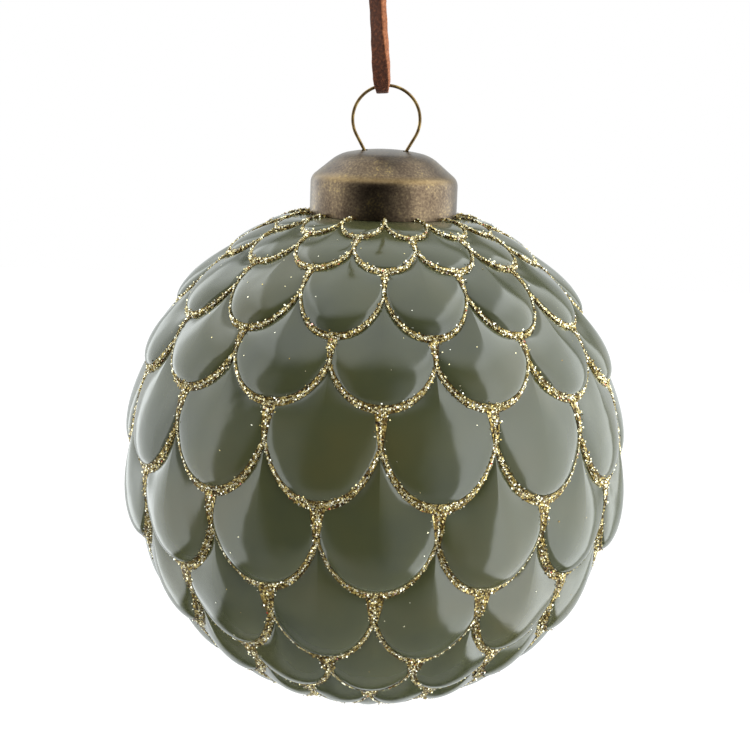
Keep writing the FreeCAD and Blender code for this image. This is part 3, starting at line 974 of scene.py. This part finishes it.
def painted_shoulder_highlight(tree, place, film):
    """The film's colour with gold mixed in along the shoulder as a painted highlight, fading out
    above and below it.
    """
    height = node(tree, "ShaderNodeSeparateXYZ", {"Vector": place}).outputs["Z"]
    shoulder = (CAP_TOP_Z - CAP_HEIGHT + CAP_SKIRT + SHOULDER_HIGHLIGHT_RISE) * MM
    above = node(tree, "ShaderNodeMath", {0: height, 1: shoulder}, operation="SUBTRACT")
    away = node(tree, "ShaderNodeMath", {0: above.outputs[0]}, operation="ABSOLUTE")
    fade = {"From Max": SHOULDER_HIGHLIGHT_REACH * MM, "To Min": 0.4, "To Max": 0.0}
    highlight_share = node(
        tree,
        "ShaderNodeMapRange",
        {"Value": away.outputs[0], **fade},
        interpolation_type="SMOOTHSTEP",
    )
    # the gold mixed in here is a painted highlight along the shoulder
    mixed = node(
        tree,
        "ShaderNodeMix",
        {"Factor": highlight_share.outputs[0], 6: film, 7: linear("#7c6438")},
        data_type="RGBA",
    )
    return mixed.outputs[2]


def painted_dark_reflection(tree, place, colour):
    """The colour darkened round a spot in front, to 0.45 of itself at its middle: a painted dark
    reflection.
    """
    mark = tuple(axis * MM for axis in DARK_REFLECTION_PLACE)
    away = node(tree, "ShaderNodeVectorMath", {0: place, 1: mark}, operation="DISTANCE")
    # how much colour the painted dark reflection leaves: 0.45 at its middle, all of it beyond its
    # reach
    kept_brightness = node(
        tree,
        "ShaderNodeMapRange",
        {"Value": away.outputs["Value"], "From Max": DARK_REFLECTION_REACH * MM, "To Min": 0.45},
        interpolation_type="SMOOTHSTEP",
    )
    darkened = node(
        tree, "ShaderNodeVectorMath", {0: colour, "Scale": kept_brightness.outputs[0]}, operation="SCALE"
    )
    return darkened.outputs[0]


def aged_brass():
    """Antiqued brass: pressed sheet darkened chemically and lacquered, so a taupe film with fine
    gold speckle where the film is thin. Gold mixed in along the shoulder is a painted highlight,
    and a painted dark reflection sits in front below the crown."""
    material, tree = new_material("antiqued_brass")
    place = node(tree, "ShaderNodeTexCoord").outputs["Object"]
    speck = node(
        tree, "ShaderNodeTexNoise", {"Vector": place, "Scale": 1 / (0.35 * MM), "Detail": 3.0}
    )
    cloud = node(
        tree, "ShaderNodeTexNoise", {"Vector": place, "Scale": 1 / (3.5 * MM), "Detail": 4.0}
    )
    both = node(
        tree,
        "ShaderNodeMix",
        {"Factor": 0.45, "A": speck.outputs["Fac"], "B": cloud.outputs["Fac"]},
    )
    stops = [(0.3, "#372a1f"), (0.46, "#554636"), (0.58, "#6a5a45"), (0.7, "#968052")]
    film = ramp(tree, both.outputs["Result"], stops)
    # the film with a painted gold highlight along the shoulder and a painted dark reflection in
    # front
    colour = painted_dark_reflection(tree, place, painted_shoulder_highlight(tree, place, film))
    bump = node(
        tree,
        "ShaderNodeBump",
        {"Height": speck.outputs["Fac"], "Distance": 0.05 * MM, "Strength": 0.35},
    )
    shader = node(
        tree,
        "ShaderNodeBsdfPrincipled",
        {
            "Base Color": colour,
            "Metallic": 1.0,
            "Roughness": 0.36,
            "Coat Weight": 0.2,
            "Coat Roughness": 0.35,
            "Normal": bump.outputs["Normal"],
        },
    )
    node(tree, "ShaderNodeOutputMaterial", {"Surface": shader.outputs[0]})
    return material


def bronzed_wire():
    """Spring wire with a dark bronze finish, worn to brass here and there."""
    material, tree = new_material("bronzed_wire")
    place = node(tree, "ShaderNodeTexCoord").outputs["Object"]
    wear = node(
        tree, "ShaderNodeTexNoise", {"Vector": place, "Scale": 1 / (1.2 * MM), "Detail": 3.0}
    )
    stops = [(0.35, "#5c4a30"), (0.55, "#7a6440"), (0.7, "#a08850")]
    colour = ramp(tree, wear.outputs["Fac"], stops)
    shader = node(
        tree,
        "ShaderNodeBsdfPrincipled",
        {"Base Color": colour, "Metallic": 1.0, "Roughness": 0.45},
    )
    node(tree, "ShaderNodeOutputMaterial", {"Surface": shader.outputs[0]})
    return material


def brown_suede():
    """Split leather lace: a soft napped face in dark brown and cut edges in lighter tan, partly the
    raw leather's own colour and partly a painted highlight of the lit side.
    """
    material, tree = new_material("brown_suede")
    place = node(tree, "ShaderNodeTexCoord").outputs["Object"]
    nap = node(
        tree, "ShaderNodeTexNoise", {"Vector": place, "Scale": 1 / (0.45 * MM), "Detail": 5.0}
    )
    face_stops = [(0.3, "#281208"), (0.55, "#40200f"), (0.75, "#5c321c")]
    # the lighter edge colour is partly the raw leather and partly a painted highlight of the lace's
    # lit side
    edge_stops = [(0.3, "#5a321c"), (0.55, "#7c4a2c"), (0.75, "#986444")]
    face = ramp(tree, nap.outputs["Fac"], face_stops)
    edge = ramp(tree, nap.outputs["Fac"], edge_stops)
    cut = node(tree, "ShaderNodeAttribute", attribute_name="cut_edge").outputs["Fac"]
    colour = node(
        tree, "ShaderNodeMix", {"Factor": cut, 6: face, 7: edge}, data_type="RGBA"
    )
    bump = node(
        tree,
        "ShaderNodeBump",
        {"Height": nap.outputs["Fac"], "Distance": 0.12 * MM, "Strength": 0.6},
    )
    shader = node(
        tree,
        "ShaderNodeBsdfPrincipled",
        {
            "Base Color": colour.outputs[2],
            "Roughness": 0.9,
            "Specular IOR Level": 0.2,
            "Sheen Weight": 0.05,
            "Sheen Roughness": 0.5,
            "Normal": bump.outputs["Normal"],
        },
    )
    node(tree, "ShaderNodeOutputMaterial", {"Surface": shader.outputs[0]})
    return material


# The white room: its floor, and the colour of its lights
FLOOR_REACH = 12000.0
FLOOR_Z = -1500.0
LIGHT_COLOUR = (0.94, 0.99, 1.0)


def pale_floor():
    """The floor: one large white sheet far below the hanging ball, faintly lit from behind."""
    material, tree = new_material("pale_floor")
    shader = node(
        tree,
        "ShaderNodeBsdfPrincipled",
        {
            "Base Color": linear("#f6f6f6"),
            "Roughness": 1.0,
            "Specular IOR Level": 0.0,
            "Emission Color": (1, 1, 1, 1),
            "Emission Strength": 0.25,
        },
    )
    node(tree, "ShaderNodeOutputMaterial", {"Surface": shader.outputs[0]})
    quarters = [(-1, -1), (1, -1), (1, 1), (-1, 1)]
    corners = [(FLOOR_REACH * x, FLOOR_REACH * y, FLOOR_Z) for x, y in quarters]
    mesh = bpy.data.meshes.new("floor")
    mesh.from_pydata((np.array(corners) * MM).tolist(), [], [(0, 1, 2, 3)])
    mesh.materials.append(material)
    floor = bpy.data.objects.new("floor", mesh)
    bpy.context.scene.collection.objects.link(floor)
    floor.visible_glossy = False


def studio_world():
    """An even white room, which glossy things don't mirror: they mirror the glowing sheets."""
    world = bpy.data.worlds.new("white_room")
    world.use_nodes = True
    world.node_tree.nodes.clear()
    tree = world.node_tree
    light = node(tree, "ShaderNodeBackground", {"Color": (1, 1, 1, 1), "Strength": 1.0})
    node(tree, "ShaderNodeOutputWorld", {"Surface": light.outputs[0]})
    world.cycles_visibility.glossy = False
    bpy.context.scene.world = world


def light_film(name, width, height, brightness, soft):
    """A clear glowing film whose light fades out towards its edges, over a soft share of its half
    size. It lets the light of the sheets behind it through."""
    material, tree = new_material(name)
    place = node(tree, "ShaderNodeTexCoord").outputs["Object"]
    sides = node(tree, "ShaderNodeSeparateXYZ", {"Vector": place})
    glow = brightness
    for axis, reach in (("X", width / 2), ("Y", height / 2)):
        distance = node(tree, "ShaderNodeMath", {0: sides.outputs[axis]}, operation="ABSOLUTE")
        fade = node(
            tree,
            "ShaderNodeMapRange",
            {"Value": distance.outputs[0], "From Min": reach, "From Max": reach * (1 - soft)},
            interpolation_type="SMOOTHSTEP",
        )
        glow = node(
            tree, "ShaderNodeMath", {0: fade.outputs["Result"], 1: glow}, operation="MULTIPLY"
        ).outputs[0]
    light = node(tree, "ShaderNodeEmission", {"Color": (*LIGHT_COLOUR, 1), "Strength": glow})
    clear = node(tree, "ShaderNodeBsdfTransparent")
    both = node(tree, "ShaderNodeAddShader", {0: light.outputs[0], 1: clear.outputs[0]})
    node(tree, "ShaderNodeOutputMaterial", {"Surface": both.outputs[0]})
    return material


def soft_sheet(name, azimuth, elevation, width, height, brightness, soft, reflected_only=False):
    """A glowing sheet a metre from the ball that faces it from an azimuth and elevation in degrees.

    Its brightness is what the ball reflects, before the glass takes its share."""
    corners = [(-width, -height, 0), (width, -height, 0), (width, height, 0), (-width, height, 0)]
    mesh = bpy.data.meshes.new(name)
    mesh.from_pydata((np.array(corners) / 2).tolist(), [], [(0, 1, 2, 3)])
    mesh.materials.append(light_film(name, width, height, brightness, soft))
    sheet = bpy.data.objects.new(name, mesh)
    bpy.context.scene.collection.objects.link(sheet)
    a, e = math.radians(azimuth), math.radians(elevation)
    away = Vector((math.sin(a) * math.cos(e), -math.cos(a) * math.cos(e), math.sin(e)))
    sheet.location = Vector(BALL_CENTRE * MM) + away
    sheet.rotation_mode = "QUATERNION"
    sheet.rotation_quaternion = away.to_track_quat("Z", "Y")
    sheet.visible_camera = False
    sheet.visible_shadow = not reflected_only
    sheet.visible_diffuse = not reflected_only


# Camera: seen from the front, a little above, and rolled so that the ball's axis leans right
CAMERA_DISTANCE = 310.8
CAMERA_ELEVATION = 11.9
CAMERA_ROLL = 2.0
CAMERA_LENS = 91.9
AIM_ABOVE_CENTRE = 11.43


def studio_camera():
    """The photograph's view, aimed a little above the ball's centre."""
    e = math.radians(CAMERA_ELEVATION)
    r = math.radians(CAMERA_ROLL)
    up = Vector((0, math.sin(e), math.cos(e)))
    away = Vector((0, -math.cos(e), math.sin(e)))
    centre = Vector(BALL_CENTRE)
    spot = centre + away * CAMERA_DISTANCE
    rolled_up = up * math.cos(r) - Vector((1, 0, 0)) * math.sin(r)
    back = (spot - (centre + rolled_up * AIM_ABOVE_CENTRE)).normalized()
    right = rolled_up.cross(back).normalized()
    true_up = back.cross(right)
    data = bpy.data.cameras.new("camera")
    data.lens = CAMERA_LENS
    data.sensor_width = 36.0
    camera = bpy.data.objects.new("camera", data)
    bpy.context.scene.collection.objects.link(camera)
    turn = Matrix((right, true_up, back)).transposed().to_4x4()
    camera.matrix_world = Matrix.Translation(spot * MM) @ turn
    data.clip_start = 0.01
    bpy.context.scene.camera = camera


def main():
    studio_camera()
    studio_world()
    pale_floor()
    soft_sheet("left_box", -107, 6, 1.75, 2.4, 2.2, 0.14)
    soft_sheet("right_box", 89, 3, 1.95, 3.0, 3.4, 0.14)
    soft_sheet("top_box", 0, 92, 2.5, 2.2, 1.9, 0.6)
    soft_sheet("left_veil", -62, -5, 1.2, 2.4, 0.6, 0.7, reflected_only=True)
    soft_sheet("right_veil", 42, 0, 1.6, 2.4, 0.85, 0.8, reflected_only=True)
    soft_sheet("back_sheet", 180, -5, 2.4, 2.4, 1.0, 0.3, reflected_only=True)
    soft_sheet("low_sheet", 0, -72, 2.4, 2.4, 0.55, 0.6)

    suede = brown_suede()
    suede_lace(suede, overhand_knot(suede))
    wire_ring(bronzed_wire())
    brass_cap(aged_brass())
    glass_ball(sage_lacquer())
    points, normals = glitter_bands()
    glue_bands(points, gold_glue())
    flake_film = gold_flakes()
    flakes_on_bands(points, normals, flake_film)
    loose_flakes(flake_film)

    bpy.context.scene.view_settings.view_transform = "Standard"


main()
